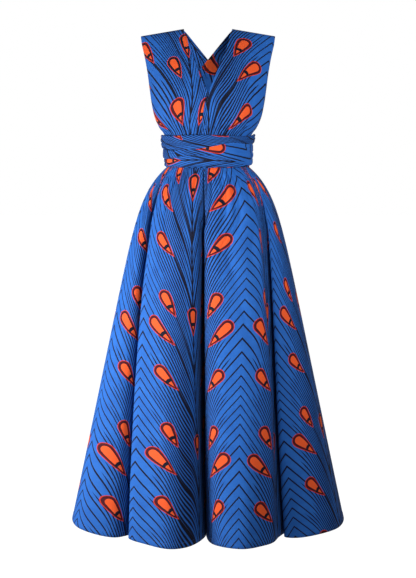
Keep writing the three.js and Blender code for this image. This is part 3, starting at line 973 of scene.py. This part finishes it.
def strapGrid(face, side, upper, place, u):
    columns = (between(column, place)[:, None] for column in zip(*strapLevels[face]))
    share, innerEdge, outerEdge, formWidth, reach = columns
    x = mix(innerEdge, outerEdge, u[None, :])
    rise, span = strapDetail[face + "Rise"]
    if face == "front":
        aside, fade = strapDetail["frontCross"]
        lift = strapDetail["frontLift"] * ease((aside - x) / fade) * ease((share - rise) / span)
    else:
        lift = strapDetail["backLift"] * ease((share - rise) / span) * np.ones_like(x)
    lift = lift if upper else lift * 0
    across = np.clip(np.abs(x) / (formWidth + lift), 0, 1)
    depth = (reach + lift) * (1 - across ** waist["power"]) ** (1 / waist["power"])
    turn = np.degrees(np.arcsin(np.clip(np.abs(x) / waist["halfWidth"], 0, 1)))
    top = mix(levels["neckSide"], levels["shoulderTip"], u)[None, :]
    dip = levels["frontDip"] * np.maximum(np.cos(np.radians(turn)), 0) ** 2 if face == "front" else 0
    z = mix(top, levels["bandTop"] - dip, share)
    y = (-1 if face == "front" else 1) * depth
    return np.stack([side * x, y, z], axis=-1)


def makeStrap(which):
    side = 1 if which == "left" else -1
    printed = strapPrint[which]
    crest = strapDetail["frontRows"]
    u = np.linspace(0, 1, strapDetail["columns"] + 1)
    frontPlace = np.linspace(len(strapLevels["front"]) - 1, 0, crest + 1)
    backPlace = np.linspace(0, len(strapLevels["back"]) - 1, strapDetail["backRows"] + 1)[1:]
    front = strapGrid("front", side, which == "left", frontPlace, u)
    back = strapGrid("back", side, which == "right", backPlace, u)
    form = np.concatenate([front, back])
    length = pathLength(form, axis=0)
    width = pathLength(form, axis=1)
    normal = gridNormals(form)
    if normal[crest // 2, strapDetail["columns"] // 2, 1] > 0:
        normal = -normal

    # gathers rise from the waist at both ends, and longer folds from the front
    fromBack = length[-1:] - length
    frontWidth, backWidth = width[0, -1], width[-1, -1]
    gathered = 0
    for away, across, folds, seed in (
        (length, frontWidth, strapGathers, 0),
        (fromBack, backWidth, strapGathers, 7),
        (length, frontWidth, strapLongFolds, 50),
    ):
        rows = gatherRows({**folds, "seed": printed["seed"] + seed}, across)
        gathered = gathered + troughs(u[None, :] * across, away, rows)
    for away in (length, fromBack):
        gathered = gathered + puffed(strapPuff, away)
    lift = gathered * fadedAtEdges(u, strapDetail["edgeShare"])[None, :]
    outer = form + normal * (lift + cloth["wall"])[..., None]
    inner = form + normal * lift[..., None]

    shoulder = length[crest : crest + 1]
    down = shoulder - length  # down the print from the shoulder, and up again on the back
    whole = np.where(down > 0, shoulder, fromBack[crest : crest + 1])
    toWaist = np.clip(np.abs(down) / whole, 0, 1).mean(axis=1)
    across, slide = printOn(printed["anchors"], toWaist, width, lambda row, station: station * width[row, -1])
    moved = np.where(down < 0, ease(toWaist / strapDetail["backMove"])[:, None], 0)
    back = printed["back"]
    fromNeck = across - across[:, :1]
    across = across + (back["across"] + fromNeck * (back["scale"] - 1)) * moved
    onCloth = np.stack([across, down + slide + back["down"] * moved], axis=-1)
    material = shoulderCloth if which == "right" else cottonCloth
    return makeCloth(f"strap{which.capitalize()}", outer, inner, onCloth, material=material), outer


strapGrids = {}
for which in ("right", "left"):
    strap, strapGrids[which] = makeStrap(which)
    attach(strap, body)
    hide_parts(f"strap_{which}_front", f"strap_{which}_back")
print("straps made")


bandDetail = {"columns": 180, "rows": 10, "aboveLegs": 0.05, "clearance": 0.1, "printAcross": 30}
# how the straps are wound: turn, level, width, and how far the cloth stands off at its top and its foot
wrapRoutes = {
    "right": [
        (-536, -316, 20, 10.2, 10.2),
        (-515, -315, 28, 10.8, 10.2),
        (-490, -313, 34, 13, 10.2),
        (-450, -311, 38, 13.2, 10.2),
        (-405, -317, 37, 12.8, 10),
        (-370, -316, 38, 11.8, 10),
        (-335, -309, 20, 11.8, 10),
        (-300, -309, 22, 12.8, 10),
        (-270, -302, 25, 13.2, 10),
        (-225, -317, 32, 13, 10.2),
        (-180, -348, 32, 10, 10),
        (-140, -360, 34, 8.6, 6),
        (-110, -363, 35, 2.8, 2.6),
        (-90, -363, 34, 2.5, 2.5),
        (-45, -362, 40, 2.5, 2.5),
        (-10, -361, 44, 2.5, 2.5),
        (25, -364, 38, 2.5, 2.5),
        (60, -366, 28, 2.5, 2.5),
        (95, -362, 20, 2.5, 2.5),
    ],
    "left": [
        (-95, -343, 30, 6.3, 5.9),
        (-90, -343, 30, 6.3, 5.9),
        (-55, -348, 24, 6.1, 5.9),
        (-27, -343, 20, 6.1, 5.9),
        (0, -335, 32, 6.7, 5.9),
        (25, -339, 50, 7.2, 5.9),
        (60, -346, 62, 6.7, 5.9),
        (90, -345, 58, 6.7, 5.9),
        (135, -354, 44, 6.1, 5.7),
        (180, -346, 36, 5.9, 5.1),
        (225, -334, 22, 5.9, 5.3),
        (256, -333, 16, 4, 3.4),
    ],
}
wrapDetail = {
    "columnDegrees": 1.5,
    "rows": 34,
    "crown": 3.0,
    "crownPower": 0.55,
    "edgeRoll": 1.6,
    "rollShare": 0.1,
    "creaseDepth": 1.5,
    "creaseFade": 22,
    "creasePower": 1.5,
    "creaseWave": (0.05, 3.1, 900),  # share of the width, waves a turn, and shift from crease to crease
}
wrapCreases = {
    # creases along the bunched cloth: share of its width, depth, width, and the turns where each one runs
    "right": [
        (0.26, 1.3, 0.05, -530, -395),
        (0.92, 3.0, 0.05, -455, -368),
        (0.62, 1.5, 0.06, -500, -352),
        (0.40, 1.2, 0.05, -402, -318),
        (0.72, 1.0, 0.05, -345, -262),
        (0.34, 1.6, 0.06, -320, -210),
        (0.60, 1.4, 0.06, -245, -150),
        (0.28, 1.4, 0.05, -190, -70),
        (0.70, 1.2, 0.05, -130, -30),
        (0.48, 1.0, 0.05, -60, 12),
        (0.08, 2.6, 0.05, -75, 20),
        (0.92, 2.2, 0.05, -62, 30),
        (0.22, 1.2, 0.05, -20, 70),
        (0.66, 1.1, 0.05, 5, 95),
    ],
    "left": [
        (0.35, 1.3, 0.06, -95, -18),
        (0.66, 1.2, 0.06, -60, 10),
        (0.20, 1.4, 0.05, 8, 96),
        (0.44, 1.6, 0.05, 22, 140),
        (0.68, 1.5, 0.06, 14, 120),
        (0.84, 1.0, 0.04, 30, 100),
        (0.36, 1.4, 0.06, 110, 226),
        (0.70, 1.2, 0.06, 130, 250),
    ],
}
wrapPrint = {
    # where the print is at one turn and share of the width, how it is turned there, and its scale along and
    # across; it lies at the first place across on the upper turn and at the second on the lower one
    "right": {
        "turn": -25,
        "share": 0.5,
        "across": (171, 143),
        "down": 120,
        "turned": 180,
        "scale": (1.25, 1.3),
    },
    "left": {
        "turn": 11,
        "share": 0.36,
        "across": (57, 57),
        "down": 197,
        "turned": 42,
        "scale": (1.0, 1.0),
    },
}
wrapChange = {"turn": -290, "span": 150}  # where it passes from the one to the other


def waistGrid(turn, z, lift):
    x, y = oval(turn, waist["halfWidth"] + lift, waist["front"] + lift, waist["back"] + lift, waist["power"])
    return np.stack(np.broadcast_arrays(x, y, z), axis=-1).astype(float)


def makeWaistband():
    turn = np.linspace(-180, 180, bandDetail["columns"] + 1)[None, :]
    v = np.linspace(0, 1, bandDetail["rows"] + 1)[:, None]
    dip = levels["frontDip"] * np.maximum(np.cos(np.radians(turn)), 0) ** 2
    z = mix(levels["bandTop"] - cloth["seam"], levels["bandFoot"] + bandDetail["aboveLegs"], v) - dip
    standing = bandDetail["clearance"]
    inner, outer = (waistGrid(turn, z, lift) for lift in (standing, standing + cloth["wall"]))
    across = levels["bandTop"] - z + bandDetail["printAcross"]
    onCloth = np.stack([across, pathLength(outer, axis=1)], axis=-1)
    return makeCloth("waistbandCloth", outer[:, :-1], inner[:, :-1], onCloth, closed=True)


def makeWrap(which):
    route = np.array(wrapRoutes[which], float)
    printed = wrapPrint[which]
    columns = int((route[-1, 0] - route[0, 0]) / wrapDetail["columnDegrees"])
    turn = np.linspace(route[0, 0], route[-1, 0], columns + 1)
    place = np.interp(turn, route[:, 0], np.arange(len(route)))
    z, width, lift, foot = (between(route[:, i], place)[None, :] for i in (1, 2, 3, 4))
    v = np.linspace(0, 1, wrapDetail["rows"] + 1)[:, None]
    bulge = np.maximum(np.sin(math.pi * v), 0)
    relief = np.zeros((len(v), columns + 1))
    swing, waves, shift = wrapDetail["creaseWave"]
    fade = wrapDetail["creaseFade"]
    for share, depth, spread, start, end in wrapCreases[which]:
        wave = share + swing * np.sin(np.radians(turn * waves + share * shift))[None, :]
        within = ease((turn - start) / fade) * ease((end - turn) / fade)
        groove = np.exp(-(np.abs((v - wave) / spread) ** wrapDetail["creasePower"]))
        relief -= depth * wrapDetail["creaseDepth"] * within[None, :] * groove
    roll = wrapDetail["edgeRoll"] * (1 - np.clip(np.minimum(v, 1 - v) / wrapDetail["rollShare"], 0, 1)) ** 2
    crown = wrapDetail["crown"] * bulge ** wrapDetail["crownPower"]
    height = mix(lift, foot, v) + crown + relief * bulge**0.5 - roll + wrapDetail["edgeRoll"]
    level = z + (0.5 - v) * width
    inner, outer = (waistGrid(turn[None, :], level, height + wall) for wall in (0, cloth["wall"]))
    along = pathLength(outer.mean(axis=0, keepdims=True), axis=1)
    alongScale, sideScale = printed["scale"]
    along = (along - np.interp(printed["turn"], turn, along[0])) * alongScale
    sideways = (v - printed["share"]) * width * sideScale
    sine, cosine = math.sin(math.radians(printed["turned"])), math.cos(math.radians(printed["turned"]))
    start = mix(*printed["across"], ease((turn - wrapChange["turn"]) / wrapChange["span"]))[None, :]
    across = start - along * sine + sideways * cosine
    down = printed["down"] - along * cosine - sideways * sine
    onCloth = np.stack(np.broadcast_arrays(across, down), axis=-1)
    return makeCloth(f"wrap{which.capitalize()}", outer, inner, onCloth)


waistband = makeWaistband()
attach(waistband, body)
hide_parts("waistband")

rightWrap = makeWrap("right")
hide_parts("wrap_right_front_low", "wrap_right_back", "wrap_right_front_high", "wrap_right_end")
leftWrap = makeWrap("left")
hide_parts("wrap_left_front", "wrap_left_end")
for wrap, length, width in ((rightWrap, 1.25, 0.036), (leftWrap, 0.68, 0.045)):
    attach(wrap, body)
print("waistband and wraps made")


# rows of stitches along the hems and the straps' edges
stitching = {
    "Stitch Length": 2.6,
    "Gap": 1.2,
    "Thread": 0.55,
    "proud": 0.12,
    "aboveHem": 13,
    "insideStrap": 5,
    "endsFree": (2, 3),  # columns or rows without stitches at the ends of a hem and of a strap's edge
}
stitchInputs = {
    "Geometry": "NodeSocketGeometry",
    "Stitch Length": "NodeSocketFloat",
    "Gap": "NodeSocketFloat",
    "Thread": "NodeSocketFloat",
    "Material": "NodeSocketMaterial",
}


def makeStitchTree():
    tree = bpy.data.node_groups.new("stitchRow", "GeometryNodeTree")
    for name, kind in stitchInputs.items():
        tree.interface.new_socket(name, in_out="INPUT", socket_type=kind)
    tree.interface.new_socket("Geometry", in_out="OUTPUT", socket_type="NodeSocketGeometry")
    given = addNode(tree, "NodeGroupInput").outputs
    length, thread = given["Stitch Length"], given["Thread"]
    pitch = addNode(tree, "ShaderNodeMath", {0: length, 1: given["Gap"]}, operation="ADD")
    curve = addNode(tree, "GeometryNodeMeshToCurve", {0: given["Geometry"]})
    spacing = {"Curve": curve.outputs[0], "Length": pitch.outputs[0]}
    spaced = addNode(tree, "GeometryNodeResampleCurve", spacing, mode="LENGTH")
    bead = addNode(tree, "GeometryNodeMeshUVSphere", {"Segments": 6, "Rings": 4, "Radius": 0.5})
    size = addNode(tree, "ShaderNodeCombineXYZ", {0: thread, 1: thread, 2: length})
    tangent = addNode(tree, "GeometryNodeInputTangent")
    along = addNode(tree, "FunctionNodeAlignRotationToVector", {"Vector": tangent.outputs[0]}, axis="Z")
    placing = {"Points": spaced, "Instance": bead, "Rotation": along, "Scale": size}
    placing = {socket: node.outputs[0] for socket, node in placing.items()}
    row = addNode(tree, "GeometryNodeInstanceOnPoints", placing)
    real = addNode(tree, "GeometryNodeRealizeInstances", {0: row.outputs[0]})
    painting = {"Geometry": real.outputs[0], "Material": given["Material"]}
    painted = addNode(tree, "GeometryNodeSetMaterial", painting)
    addNode(tree, "NodeGroupOutput", {0: painted.outputs[0]})
    return tree


def makeStitches(name, lines, tree):
    # lines are rows of points in millimetres on the cloth
    points = np.concatenate(lines) * mm
    starts = np.cumsum([0] + [len(line) for line in lines])
    edges = [(k, k + 1) for a, b in zip(starts[:-1], starts[1:]) for k in range(a, b - 1)]
    mesh = bpy.data.meshes.new(name + "Line")
    mesh.from_pydata(points.tolist(), edges, [])
    holder = putInScene(name + "Line", mesh)
    modifier = holder.modifiers.new("stitches", "NODES")
    modifier.node_group = tree
    values = {size: stitching[size] * mm for size in ("Stitch Length", "Gap", "Thread")}
    values["Material"] = blueThread
    for item in tree.interface.items_tree:
        if item.in_out == "INPUT" and item.name in values:
            modifier[item.identifier] = values[item.name]
    made = holder.evaluated_get(bpy.context.evaluated_depsgraph_get())
    row = putInScene(name, bpy.data.meshes.new_from_object(made))
    bpy.data.objects.remove(holder)
    for face in row.data.polygons:
        face.use_smooth = True
    return row


def linesOn(grid, distance, axis, fromEnd):
    # the row of the grid that runs that far from one of its edges, a little proud of the cloth
    travelled = pathLength(grid, axis=axis)
    if fromEnd:
        travelled = np.take(travelled, [-1], axis=axis) - travelled
    normal = gridNormals(grid)
    outwards = np.sign(np.sum(normal * grid * np.array([1, 1, 0]), axis=(0, 1)).sum())
    raised = grid + normal * outwards * stitching["proud"]
    raised, travelled = (np.moveaxis(a, axis, 0) for a in (raised, travelled))
    line = []
    for column in range(raised.shape[1]):
        order = np.argsort(travelled[:, column])
        where = travelled[order, column]
        line.append([np.interp(distance, where, raised[order, column, k]) for k in range(3)])
    return np.array(line)


stitchTree = makeStitchTree()
hemEnds, strapEnds = stitching["endsFree"]
hemLines = [linesOn(grid, stitching["aboveHem"], 0, True)[hemEnds:-hemEnds] for grid in legGrids.values()]
strapLines = [
    linesOn(grid, stitching["insideStrap"], 1, fromEnd)[strapEnds:-strapEnds]
    for grid in strapGrids.values()
    for fromEnd in (False, True)
]
for name, lines in (("hemStitches", hemLines), ("strapStitches", strapLines)):
    stitches = makeStitches(name, lines, stitchTree)
    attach(stitches, body)
print("stitches made")
